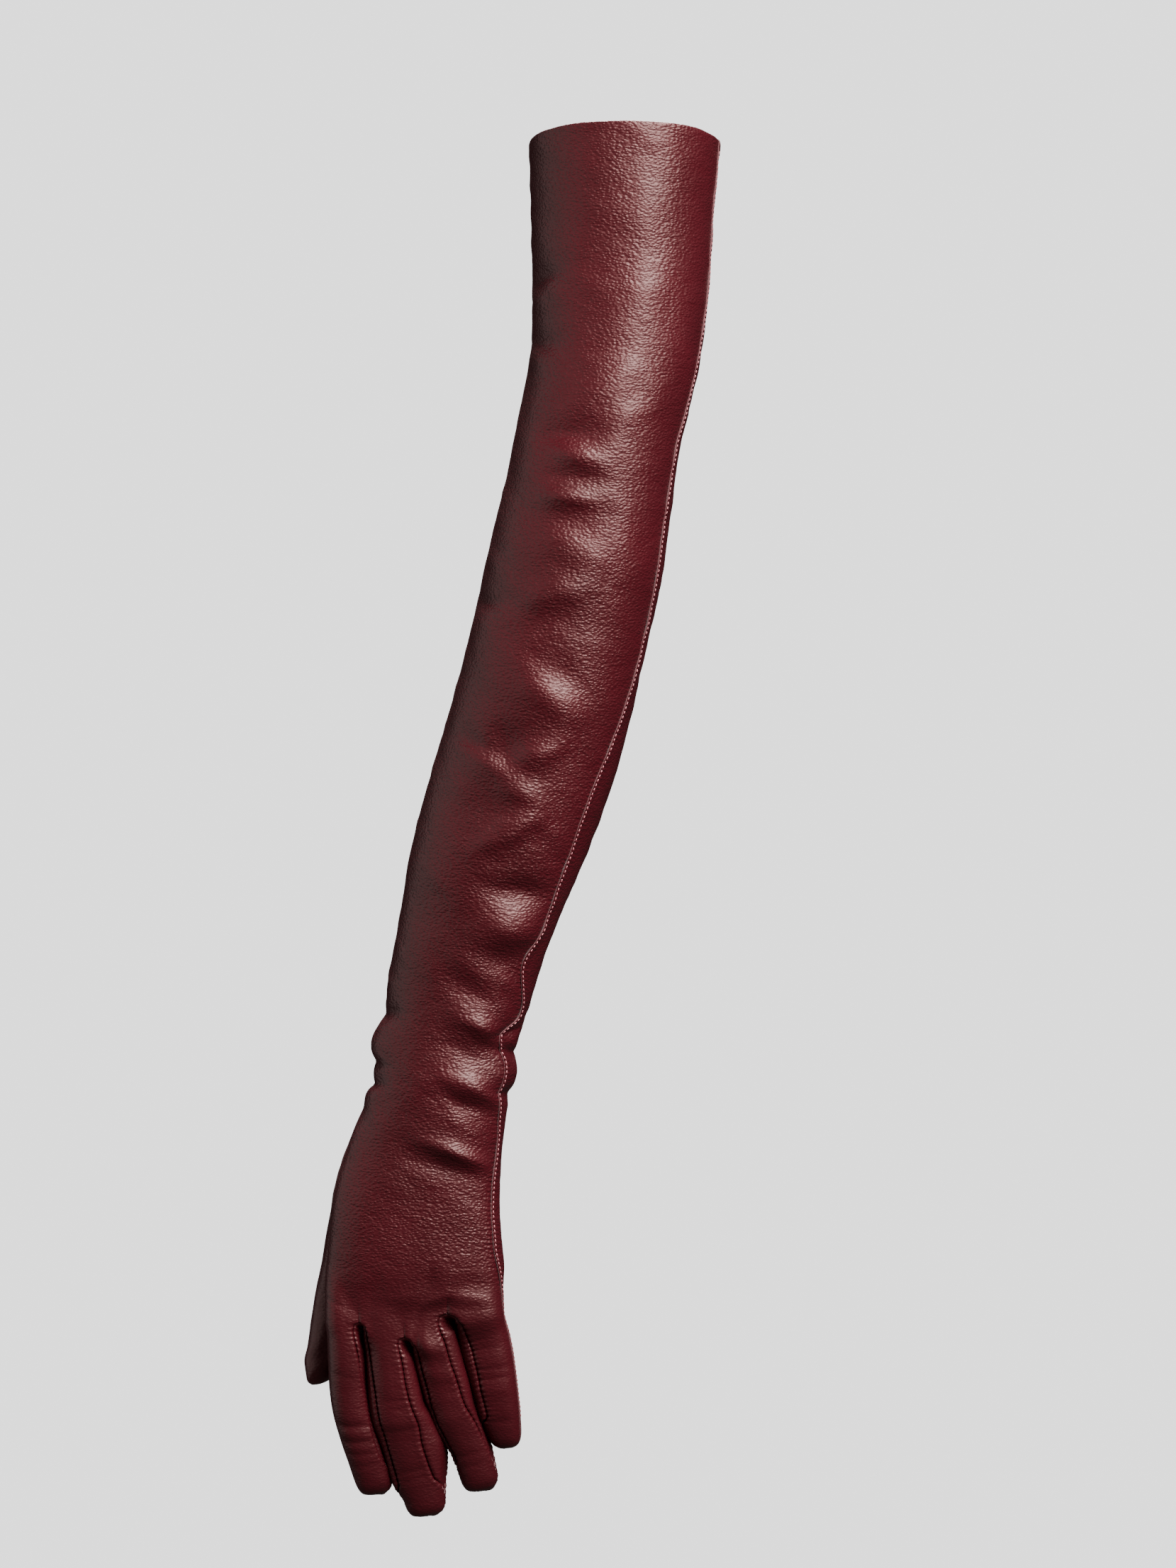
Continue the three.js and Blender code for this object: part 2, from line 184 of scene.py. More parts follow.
# Fingers: sections from the hand to the tip, and the side of the seam between the back of the finger
# and the strip on its little-finger side. Sides: 0 little finger, 90 palm, 180 thumb, 270 back.
fingers = {
    "index": dict(rows=table(sections, """
        497 -122 14.5 17 20; 511 -122 15.4 17.2 18.6; 517 -121.6 16.3 16.4 18.2; 530 -120.8 18 17 17.4;
        540 -120.4 20 17.2 17; 551 -119 22 17.2 16.5; 561 -116.2 24.5 17.6 15.8; 571 -113 27 17.6 15;
        582 -110 30 16.6 13.5; 589.5 -108.3 32 15 11.5"""),
        seam=table("down side", "511 291; 522 301; 538 318; 549 327; 561 312; 571 309; 580 322")),
    "middle": dict(rows=table(sections, """
        497 -103.8 14.5 20 21; 511 -103.6 15.3 19.9 19.6; 516.5 -103.1 15.8 20 19.2;
        522 -102.2 16.3 19.4 18.8; 531 -100.4 17.6 20.4 18.4; 540 -98.8 19 21.2 18; 551 -97 21 21.6 17.5;
        561 -94.7 24 20.6 16.5; 571 -92.4 26.5 19.8 15.8; 582 -89.8 29.5 19.2 14.6;
        599 -85.6 33.5 17.5 12"""),
        thumbBulge=table("down out", """
            512 0; 520 0.5; 532 1.4; 544 2.2; 556 2.6; 568 1.9; 580 1.9; 586 1; 590 0"""),
        littleBulge=table("down out", """
            545 0; 550 0.4; 556 2.5; 562 4.5; 568 5.6; 574 5; 580 3.6; 588 1.2; 593 0"""),
        seam=table("down side", "517 292; 531 288; 540 286; 549 291; 557 298; 565 296; 574 301; 585 314")),
    "ring": dict(rows=table(sections, """
        497 -84.4 14.5 19.4 20; 508 -84 15 19.6 19; 516.5 -83 16.2 21.4 18.4; 522 -81 17 19.8 17.8;
        531 -78.8 18.6 19.8 17.4; 540 -76.4 20.5 20 17; 551 -73.8 23 19.4 16.5; 561 -69.8 26 18.2 15.5;
        571 -66.4 29 17.6 14.8; 588 -62 33.5 16 12"""),
        thumbBulge=table("down out", """
            512 0; 520 1.2; 526 1.8; 538 1.7; 544 1.6; 549 0.6; 556 1.2; 562 0.8; 568 0"""),
        seam=table("down side", "511 283; 523 284; 536 289; 547 295; 557 308; 565 318; 571 330")),
    "little": dict(rows=table(sections, """
        490 -63.4 14.5 21 19; 506 -63 15.8 20.6 18; 512 -61.4 17 18.6 17; 520 -58.8 18.5 17.6 16.2;
        530 -56.7 20 17 15.4; 541 -54.9 22.5 16 15; 551 -53.2 25.5 14.6 14.5; 560 -52.2 28.5 13.6 13.5;
        569 -51.5 31.5 13 11.5"""),
        thumbBulge=table("down out", """
            506 1; 514 3.2; 520 4.3; 532 3.8; 544 3.2; 550 3.5; 556 3; 562 1.7; 568 0"""),
        seam=table("down side", "507 350; 530 354; 569 356")),
}
for finger in fingers.values():
    finger["tip"] = finger["rows"]["down"][-1]
fingerTip = dict(length=8.0, wideRoundness=2.9, thickRoundness=2.3, strips=10.0, outerSide=345,
                 innerSide=160, seamAcross=0.985, leastTurn=28, innerPalm=125, outerPalm=20)

# The seam along the whole glove on the little-finger side, from the mouth to the knuckle
outseam = dict(path=table("down side", """
    0 353; 28 351; 100 345; 158 338; 216 340; 270 324; 301 325; 330 328; 349 320; 371 336; 382 319;
    392 327; 409 330; 431 338; 450 334; 475 333; 497 335; 507 343"""),
    lap=1.3, under=1.8, rise=0.42, flat=1.6, fades=4.2, sink=0.3, sinkFades=(1.2, 3.3))

# The crotches between the fingers: on the back and on the palm, their level and their place across the
# hand, as a part of its half width
crotches = {
    "indexMiddle": dict(sides=("index", "middle"), back=511.3, palm=513.5,
                        backPlace=-0.625, palmPlace=-0.513),
    "middleRing": dict(sides=("middle", "ring"), back=516.8, palm=519, backPlace=-0.12, palmPlace=-0.008),
    "ringLittle": dict(sides=("ring", "little"), back=506.7, palm=509, backPlace=0.365, palmPlace=0.485),
}
crotch = dict(arch=3.8, settles=11.0, dip=0.5, sag=1.4, sagShape=0.8, outerLevel=508.0)


# A point of the sleeve or hand: its section's oval, less the inset, slanted, and tilted at the mouth
def sleeveSurface(down, side, inset=0.0):
    slant = np.radians(valueAt(sleeve, "slant", down))
    toHand = smooth(form["handBegins"], form["handIsFull"], down)
    c, s = ovalPoint(side, mix(form["sleeveRoundness"], form["handRoundness"], toHand))
    u = (valueAt(sleeve, "wide", down) / 2 - inset) * c
    v = (valueAt(sleeve, "deep", down) / 2 - inset) * s
    rise = form["mouthRise"] * (1 - smooth(0, form["mouthRiseEnds"], down))
    return np.stack([valueAt(sleeve, "across", down) + u * np.cos(slant), valueAt(sleeve, "away", down) + v,
                     -down - u * np.sin(slant) - v * rise], axis=-1)


# A point of a finger or thumb: its section's oval, square to its own line, each half widened by its bulge
def fingerSurface(finger, down, side, wideClose=1.0, thickClose=1.0):
    rows = finger["rows"]
    down, side = np.broadcast_arrays(down, side)

    def middleAt(at):
        return np.stack([valueAt(rows, "across", at), valueAt(rows, "away", at), -at], axis=-1)

    along = unit(middleAt(down + 2) - middleAt(down - 2))
    palm = unit(np.array([0.0, 1.0, 0.0]) - along * along[..., 1:2])
    across = np.cross(along, palm)
    c, s = ovalPoint(side, form["fingerRoundness"])
    reach = valueAt(rows, "wide", down) / 2
    for half, key in ((c < 0, "thumbBulge"), (c > 0, "littleBulge")):
        if key in finger:
            reach = reach + np.where(half, valueAt(finger[key], "out", down), 0)
    wide = reach * wideClose * c
    thick = valueAt(rows, "thick", down) / 2 * thickClose * s
    return middleAt(down) + across * wide[..., None] + palm * thick[..., None]


# How far up a bulged half's back seam is, to stay at a part of the half width without the bulge: the
# inverse of ovalPoint
def seamTurn(finger, down, part, key):
    half = valueAt(finger["rows"], "wide", down) / 2
    bulged = part * half / (half + valueAt(finger[key], "out", down))
    return np.degrees(np.arccos(bulged ** (form["fingerRoundness"] / 2)))


# The sides where a finger's back strip starts and ends, and its palm strip. They close before the tip.
def seamSides(name, down):
    finger = fingers[name]
    straight = finger["tip"] - fingerTip["length"]
    closing = smooth(straight - fingerTip["strips"], straight, down)
    outerBack = valueAt(finger["seam"], "side", down)
    outerPalm = outerBack - 360
    innerBack = innerPalm = 180 + 0 * outerBack
    if name != "little":
        outerPalm = mix(fingerTip["outerPalm"], fingerTip["outerSide"] - 360, closing)
        if "littleBulge" in finger:
            part = np.abs(ovalPoint(outerBack, form["fingerRoundness"])[0])
            outerBack = 360 - seamTurn(finger, down, part, "littleBulge")
        outerBack = mix(outerBack, fingerTip["outerSide"], closing)
    if name != "index":
        turn = seamTurn(finger, down, fingerTip["seamAcross"], "thumbBulge")
        innerBack = mix(180 + np.maximum(turn, fingerTip["leastTurn"]), fingerTip["innerSide"], closing)
        innerPalm = mix(fingerTip["innerPalm"], fingerTip["innerSide"], closing)
    return outerBack, innerBack, innerPalm, outerPalm


# The side of a finger that faces a gap, at a part of the way from back seam to palm seam: the little
# finger's side of the first finger, or the thumb's side of the second
def gapSurface(name, down, part, first):
    outerBack, innerBack, innerPalm, outerPalm = seamSides(name, down)
    side = mix(outerBack, outerPalm + 360, part) if first else mix(innerBack, innerPalm, part)
    return fingerSurface(fingers[name], down, side)


# The level of a crotch at a part of the way from the back to the palm: it sags in a flattened sine
def crotchLevel(gap, part):
    sag = crotch["sag"] * np.sin(np.pi * part).clip(0) ** crotch["sagShape"]
    return mix(gap["back"], gap["palm"], part) + sag


# The point where two fingers' strips meet at a crotch, midway between their own points, which come with
# it. Its depth goes from the mean of the hand's back and the first finger's seam, plus a dip, to the
# palm less that dip.
def crotchPoint(gap, part):
    down = crotchLevel(gap, part)
    a, b = gap["sides"]
    first = gapSurface(a, down, part, True)
    second = gapSurface(b, down, part, False)
    back, palm = (
        sleeveSurface(gap[face], handSide(gap[face + "Place"], face))[1] for face in ("back", "palm"))
    seamBack = fingerSurface(fingers[a], gap["back"], valueAt(fingers[a]["seam"], "side", gap["back"]))[1]
    middle = (first + second) / 2
    middle[..., 1] = mix(np.mean([back, seamBack]) + crotch["dip"], palm - crotch["dip"], part)
    return middle, first, second


# The share of the way to the crotch that a finger's edge is moved, below it: sideways over a quarter
# circle, for a round gap, and in depth and height more slowly
def archAt(below):
    t = np.clip(below / crotch["arch"], 0, 1)
    slow = 1 - smooth(0, crotch["settles"], below)
    return np.stack([1 - np.sqrt(1 - (1 - t) ** 2), slow, slow], axis=-1)


# Folds: the level and side of the middle, half height, half reach round the arm in degrees, how far it
# stands out, its fall towards the little finger over its reach, and how sharp it is, from 1 for a
# crease to 2 for a soft roll.
foldColumns = "down side tall reach out fall sharp"
sleeveFolds = table(foldColumns, """
    34 284 12 30 0.7 -8 2; 61 208 4.5 34 -1.9 -4 1.3; 68 214 7 34 0.9 -4 2; 50 262 11 24 -0.8 -6 2;
    72 282 12 26 0.9 -8 2; 91 207 4.5 36 -1.5 1 1.4; 98 212 7 34 0.7 1 2; 108 268 9 26 1.1 -6 2;
    117 292 8 30 0.8 -8 2; 130 250 7 36 -2.9 -3 1.7; 139 260 6 30 2.4 2 1.6; 148 258 4.5 32 -1.4 -2 1.5;
    157.5 257 4.2 28 2.8 -2 1.4; 166 262 8 40 -1.4 -2 2; 178 268 8 30 0.9 4 2; 198 262 7 30 2.1 -9 1.9;
    212 256 9 34 -0.7 -4 2; 208 208 4 32 -1.8 -2 1.3; 215 214 7 30 0.8 -2 2; 229 276 7 34 -1.4 6 1.8;
    241 275 8 32 2.5 6 1.8; 263 277 6 20 2.4 -7 1.8; 264 256 7 18 -2 4 2; 268 240 3.6 36 -1.6 4 1.3;
    273 246 4.5 34 1.3 5 1.6; 281 274 5 22 2.1 1 1.7; 292 280 6 20 2 -6 1.9; 292 250 9 24 -1.1 -4 2;
    302 268 6 20 1.8 -9 1.9; 320 294 6 36 -3 -3 1.7; 336 298 9 40 3.2 -3 1.9; 349 300 8 34 -1.6 -6 2;
    340 236 9 46 -0.9 4 2; 357 286 6 36 1.2 4 1.9; 366 280 6 34 -1.2 4 1.8; 382 204 3.2 36 -1.8 -1 1.2;
    374 294 8 38 1 3 2; 379.5 294 4.6 36 2.5 3.5 1.7; 384 184 3.2 46 -1.4 0 1.4; 395.5 184 8.5 46 2.1 0 2;
    403.8 190 2.4 40 -2.1 1 1.2; 412.2 189 2 44 -2 -1 1.2; 416 185 4 44 1.3 0 2;
    380 326 3.2 34 -2.5 -5 1.2; 388 342 3 56 -2.6 0 1.2; 398 341 8 60 1.8 0 2;
    407.5 342 3.6 50 -2.2 0 1.3; 393 294 6 44 -1.5 4 1.8; 403 296 9 46 0.5 5 2;
    407.5 302 4.5 44 2.4 5 1.7; 414.5 292 4.8 44 -1.5 5 1.7; 427 288 9 46 0.8 7 2;
    436.5 294 3.8 42 3.4 7 1.6; 443.5 286 4.2 42 -1 7 1.7; 455 250 10 40 0.7 -8 2; 474 290 11 40 -0.7 4 2;
    492 298 9 46 0.4 5 2; 502 290 6 50 1.7 4 1.9; 503 212 1.6 24 -0.5 3 1.2; 96 92 8 70 -1.1 2 1.6;
    131 92 7 84 -2.6 0 1.5; 145 90 8 80 2 1 2; 158 92 5 80 -2 -1 1.3; 168 88 8 76 1 2 2;
    183 80 6 60 -1.1 3 1.5; 240 110 9 60 -0.8 4 1.8; 300 80 9 60 -0.9 -4 1.8; 352 96 7 60 -1 3 1.6;
    384 92 4.5 70 -1.6 2 1.3; 393 90 7 70 1.3 0 2; 402 92 4 70 -1.8 -2 1.3; 411 90 6 60 0.9 0 2;
    432 60 5 46 -0.9 9 1.4; 468 70 4 50 -0.9 -6 1.4; 488 60 4 56 -1 -4 1.4""")
fingerFolds = {
    "index": table(foldColumns, """
        556 262 1.4 80 -0.62 3.2 1.2; 560 262 2.4 70 0.25 3.2 2; 563 258 1.3 70 -0.55 2.8 1.2;
        568.5 256 1.2 60 -0.45 2.4 1.2; 574 264 1.8 60 -0.3 1 1.3; 534 250 2.2 60 -0.3 2 1.3;
        545 84 2.6 76 -0.45 0.8 1.6; 568 98 2.4 70 -0.35 -0.6 1.6; 524 90 3.4 80 -0.4 1 1.7"""),
    "middle": table(foldColumns, """
        545 268 1.3 46 -0.32 1 1.2; 548.4 272 1.2 40 -0.3 1 1.2; 554 255 2.6 70 0.25 1 2;
        557 262 1.8 60 -0.3 1 1.3; 576 262 1.8 60 -0.35 0 1.3; 580 262 1.8 60 -0.25 0 1.3;
        552 96 2.6 76 -0.45 -0.8 1.6; 577 84 2.4 70 -0.35 0.8 1.6; 529 92 3.4 80 -0.4 -1 1.7"""),
    "ring": table(foldColumns, """
        522 262 4.5 60 0.8 3 1.8; 532 254 3.6 50 0.6 3 1.8; 538 270 1.3 50 -0.3 1 1.2;
        541.4 274 1.2 44 -0.3 1 1.2; 552 258 2.4 60 0.2 1 2; 569 262 1.8 60 -0.3 0 1.3;
        574 262 1.8 60 -0.25 0 1.3; 546 86 2.6 76 -0.45 0.9 1.6; 569 96 2.4 70 -0.35 -0.5 1.6;
        527 90 3.4 80 -0.4 0.8 1.7"""),
    "little": table(foldColumns, """
        531 262 1.9 80 -0.45 1 1.2; 535 262 1.8 76 -0.4 1 1.2; 540 258 2.4 60 0.2 1 2;
        554 262 1.8 60 -0.3 0 1.3; 522 250 2 60 -0.3 1 1.3; 532 94 2.4 76 -0.4 -0.7 1.6;
        551 86 2.2 70 -0.3 0.6 1.6; 518 92 3.2 80 -0.35 0.8 1.7"""),
    "thumb": table(foldColumns, """
        478 60 2.4 90 -0.6 2 1.3; 500 80 2.2 90 -0.6 1 1.3; 506 80 2 80 -0.4 1 1.3;
        502 250 2 80 -0.4 0 1.3; 524 90 2 80 -0.4 0 1.3"""),
}


# The sum of the folds at a level and side. Round the arm a fold fades as (1 - r^2)^2, and across
# its line it is e to the minus |distance / half height| to the power of its sharpness.
def foldOut(folds, down, side):
    out = np.zeros(np.broadcast(down, side).shape)
    for level, middle, tall, reach, height, fall, sharp in zip(*folds.values()):
        turn = ((side - middle + 540) % 360 - 180) / reach
        across = np.abs(down - level - fall * turn) / tall
        out += height * np.clip(1 - turn ** 2, 0, None) ** 2 * np.exp(-across ** sharp)
    return out


# A knuckle under the leather: a sine squared across the back of the finger, and down it e to the
# minus square of the distance
knuckles = {"ring": dict(down=518, tall=6.5, out=2.1), "little": dict(down=509, tall=7, out=1.9)}


def knuckleOut(knuckle, down, part):
    along = (down - knuckle["down"]) / knuckle["tall"]
    return knuckle["out"] * np.sin(np.pi * part) ** 2 * np.exp(-along ** 2)


# Materials. Colours are sRGB hex values, turned to linear here.
def colour(code):
    s = np.array([int(code[i:i + 2], 16) / 255 for i in (1, 3, 5)])
    linear = np.where(s <= 0.04045, s / 12.92, ((s + 0.055) / 1.055) ** 2.4)
    return (*linear.tolist(), 1.0)


# Adds a node. A socket is given a value, an output, or a node, whose first output is used.
def addNode(tree, kind, sockets=None, **settings):
    made = tree.nodes.new("ShaderNode" + kind)
    for name, value in settings.items():
        setattr(made, name, value)
    for name, value in (sockets or {}).items():
        if isinstance(value, bpy.types.Node):
            value = value.outputs[0]
        if isinstance(value, bpy.types.NodeSocket):
            tree.links.new(value, made.inputs[name])
        else:
            made.inputs[name].default_value = value
    return made


def newMaterial(name):
    material = bpy.data.materials.new(name)
    material.use_nodes = True
    material.node_tree.nodes.clear()
    return material, material.node_tree


# Burgundy nappa: full-grain lamb leather, drum dyed and lightly plated. It gives a deep red with a
# soft, clear shine, broken up by a fine wrinkled grain, and puckers along the outseam's stitches.
nappa = dict(
    deep="#2c040b", rich="#3d0813", mottle=40.0, clear=0.36, dull=0.48, ior=1.5, tint="#ffd9d4", coat=0.1,
    coatRoughness=0.3, grain=1.1, grainDepth=0.4, grainShape=(0.8, 0.8, 1.35), creases=7.0, creaseDepth=0.2,
    creaseShape=(0.7, 0.7, 2.2), pores=0.5, poreDepth=0.02, fingerGrain=0.4, pulledFrom=-0.47,
    pulledTo=-0.525, seamLine=1.0, seamPitch=2.1, groove=-0.16, grooveReach=0.9, pucker=0.1,
    puckerReach=5.0)
seamUnit = 100.0         # the seam's map is in tenths of a metre


def makeNappa():
    material, tree = newMaterial("burgundyNappa")
    place = addNode(tree, "TexCoord").outputs["Object"]
    across, drawn = (
        addNode(tree, "Mapping", {"Vector": place, "Scale": nappa[key]})
        for key in ("grainShape", "creaseShape"))
    grain, pores, mottle, creases = (
        addNode(tree, kind, {"Vector": vector, "Scale": 1000 / nappa[size], **sockets}, **settings)
        for size, vector, kind, sockets, settings in (
            ("grain", across, "TexVoronoi", {}, {"feature": "SMOOTH_F1"}),
            ("pores", across, "TexNoise", {}, {}), ("mottle", place, "TexNoise", {}, {}),
            ("creases", drawn, "TexNoise", {"Detail": 3.0, "Distortion": 0.6}, {})))
    base = addNode(tree, "Mix", {
        "Factor": mottle, 6: colour(nappa["deep"]), 7: colour(nappa["rich"])}, data_type="RGBA")
    rough = addNode(tree, "MapRange", {"Value": creases, "To Min": nappa["clear"], "To Max": nappa["dull"]})

    # The seam's map holds the distance from the lap's edge and the way along it. The stitches draw a
    # groove along their line and pucker the leather beside it, a cosine for each stitch.
    seam = addNode(tree, "SeparateXYZ", {"Vector": addNode(tree, "UVMap", uv_map="seam")})
    fromLine = addNode(tree, "Math", {
        0: seam.outputs["X"], 1: seamUnit, 2: -nappa["seamLine"]}, operation="MULTIPLY_ADD")
    away = addNode(tree, "Math", {0: fromLine}, operation="ABSOLUTE")
    turn = addNode(tree, "Math", {
        0: seam.outputs["Y"], 1: seamUnit * 2 * math.pi / nappa["seamPitch"]}, operation="MULTIPLY")
    wave = addNode(tree, "Math", {0: turn}, operation="COSINE")
    groove, pucker = (addNode(tree, "MapRange", {
        "Value": away, "From Max": nappa[key + "Reach"], "To Min": nappa[key], "To Max": 0.0},
        interpolation_type="SMOOTHSTEP") for key in ("groove", "pucker"))
    stitched = addNode(tree, "Math", {0: wave, 1: pucker, 2: groove}, operation="MULTIPLY_ADD")

    # The grain and creases are pulled flat over the fingers.
    level = addNode(tree, "SeparateXYZ", {"Vector": place}).outputs["Z"]
    pulled = addNode(tree, "MapRange", {
        "Value": level, "From Min": nappa["pulledTo"], "From Max": nappa["pulledFrom"],
        "To Min": nappa["fingerGrain"]}, interpolation_type="SMOOTHSTEP")
    bump = {}
    for height, depth, strength, invert in (
            (stitched, 1.0, 1.0, False), (creases, nappa["creaseDepth"], pulled, False),
            (grain, nappa["grainDepth"], pulled, True), (pores, nappa["poreDepth"], 1.0, False)):
        bump = {"Normal": addNode(tree, "Bump", {
            "Height": height, "Distance": depth * metre, "Strength": strength, **bump}, invert=invert)}
    shader = addNode(tree, "BsdfPrincipled", {
        "Base Color": base.outputs[2], "Roughness": rough, "IOR": nappa["ior"], **bump,
        "Specular Tint": colour(nappa["tint"]), "Coat Weight": nappa["coat"],
        "Coat Roughness": nappa["coatRoughness"]})
    addNode(tree, "OutputMaterial", {"Surface": shader})
    return material


# The nappa's brushed flesh side, dull, with paler tufts, and spun polyester thread, pink, half matt
fleshSide = dict(colour="#5f3a3c", dark="#43232a", fibre=0.6, detail=3.0, depth=0.1, roughness=0.9,
                 sheen=0.3)
thread = dict(colour="#b9787f", fibre=0.35, detail=1.0, depth=0.08, roughness=0.5, sheen=0.0)


# A fibrous material: noise as wide as a tuft or a ply gives its bump, and its shade if it has a dark one
def makeFibres(name, look):
    material, tree = newMaterial(name)
    place = addNode(tree, "TexCoord").outputs["Object"]
    fibres = addNode(tree, "TexNoise", {
        "Vector": place, "Scale": 1000 / look["fibre"], "Detail": look["detail"]})
    bump = addNode(tree, "Bump", {"Height": fibres, "Distance": look["depth"] * metre})
    base = colour(look["colour"])
    if "dark" in look:
        mixed = addNode(tree, "Mix", {"Factor": fibres, 6: colour(look["dark"]), 7: base}, data_type="RGBA")
        base = mixed.outputs[2]
    shader = addNode(tree, "BsdfPrincipled", {
        "Base Color": base, "Roughness": look["roughness"], "Normal": bump, "Sheen Weight": look["sheen"]})
    addNode(tree, "OutputMaterial", {"Surface": shader})
    return material


leather, leatherWall = makeNappa(), 0.85
flesh, sewing = makeFibres("fleshSideOfNappa", fleshSide), makeFibres("polyesterThread", thread)
print("materials made")


# A piece of leather: the grid is its grain side, and its wall goes inward to the flesh side
def leatherPiece(name, points, ids, faces, seamPlace=None):
    made = meshPiece(name, points, ids, faces, [leather, flesh], seamPlace)
    wall = made.modifiers.new("leather wall", "SOLIDIFY")
    wall.thickness = leatherWall * metre
    wall.offset = -1
    wall.material_offset = wall.material_offset_rim = 1
    return made


# The trank: one piece of leather from the outseam round the back, the thumb side and the palm to the
# outseam, where it laps over. Its strips run on over the back and palm of each finger. Each strip:
# finger, face, columns, gaps at its two ends.
strips = (("little", "back", 16, None, "ringLittle"), ("ring", "back", 15, "ringLittle", "middleRing"),
          ("middle", "back", 15, "middleRing", "indexMiddle"), ("index", "back", 14, "indexMiddle", None),
          ("index", "palm", 14, None, "indexMiddle"), ("middle", "palm", 13, "indexMiddle", "middleRing"),
          ("ring", "palm", 13, "middleRing", "ringLittle"), ("little", "palm", 19, "ringLittle", None))
trank = dict(
    hem=11.0, hemInset=2.0, hemRows=5, edgeRows=7,
    rowSteps=((6, 1.3), (366, 2.1), (418, 1.0), (498, 1.5), (512, 0.7)),      # up to a level, by steps
    nearSeam=(0.6, 0.8, 1.2, 1.7), nearLap=(1.8, 1.5, 1.2, 1.0, 0.8, 0.7, 0.6, 0.5), around=236.0,
    twoSeams=0.72, oneSeam=0.6, fingerRows=108, tipRows=14, firstStep=0.2, stepsGrow=9, levelling=70,
    handSides=(385, 475), fingersFrom=(9.0, 28.0), pull=3.8, wrinkle=0.26, wrinkleLength=6.5,
    wrinklesAround=15, calmHand=0.45, calmFingers=0.3, farFromSeam=60.0, checkedAt=250.0)
thumbHole = dict(down=451.0, side=142.0, tall=28.0, reach=35.0)


# Places from 0 to 1 across a strip, closer together at an end that has a seam
def columnParts(count, startSeam, endSeam):
    k = np.linspace(0, 1, count)
    if startSeam and endSeam:
        return mix(k, smooth(0, 1, k), trank["twoSeams"])
    return mix(k, k ** 2 if startSeam else 1 - (1 - k) ** 2, trank["oneSeam"])


# Places from 0 to 1 down a finger, with steps that grow as 1 less a falling power of e
def fingerParts():
    steps = 1 - (1 - trank["firstStep"]) * np.exp(-np.arange(trank["fingerRows"]) / trank["stepsGrow"])
    return np.concatenate([[0], np.cumsum(steps) / steps.sum()])


# Levels and insets of the rows: up the turned-in hem, round the mouth's edge on a half circle, and down
# the outside
def sleeveRows():
    half = trank["hemInset"] / 2
    hem = np.linspace(trank["hem"], half + 0.7, trank["hemRows"])
    turn = np.linspace(0, np.pi, trank["edgeRows"])
    levels, insets = [hem, half - half * np.sin(turn)], [0 * hem + 2 * half, half + half * np.cos(turn)]
    start = half
    for upTo, step in trank["rowSteps"]:
        count = round((upTo - start) / step)
        levels.append(start + (upTo - start) * np.arange(1, count + 1) / count)
        insets.append(np.zeros(count))
        start = upTo
    return np.concatenate(levels), np.concatenate(insets)


# The side on the hand's oval at a part of its half width, on the back or on the palm
def handSide(place, face):
    bent = np.sign(place) * abs(place) ** (form["handRoundness"] / 2)
    angle = np.degrees(np.arccos(bent))
    return 360 - angle if face == "back" else angle


# Each strip's columns: how far round from the outseam, where in the strip, and the level at the crotches
def ringColumns():
    shared = sum(count for _, _, count, _, _ in strips) - len(strips) + 1
    near, lap = np.array(trank["nearSeam"]), np.array(trank["nearLap"])
    rest = shared - 1 - len(near) - len(lap)
    even = np.full(rest, (trank["around"] - near.sum() - lap.sum()) / rest)
    roundTo = np.concatenate([[0], np.cumsum(np.concatenate([near, even, lap]))]) / trank["around"]
    columns, start, first = [], 0, 0
    for name, face, count, startGap, endGap in strips:
        little = name == "little"
        part = columnParts(count, startGap or little, endGap or little)
        ends = [crotches[gap][face] if gap else crotch["outerLevel"] for gap in (startGap, endGap)]
        columns.append(dict(
            name=name, face=face, startGap=startGap, endGap=endGap, part=part, first=first,
            last=first + count - 1, level=mix(*ends, smooth(0, 1, part)),
            around=roundTo[start:start + count]))
        start += count - 1
        first += count
    return columns


# A width in millimetres as degrees of the side: width / half width
def asDegrees(width, rows, down):
    return np.degrees(width / (valueAt(rows, "wide", down) / 2))


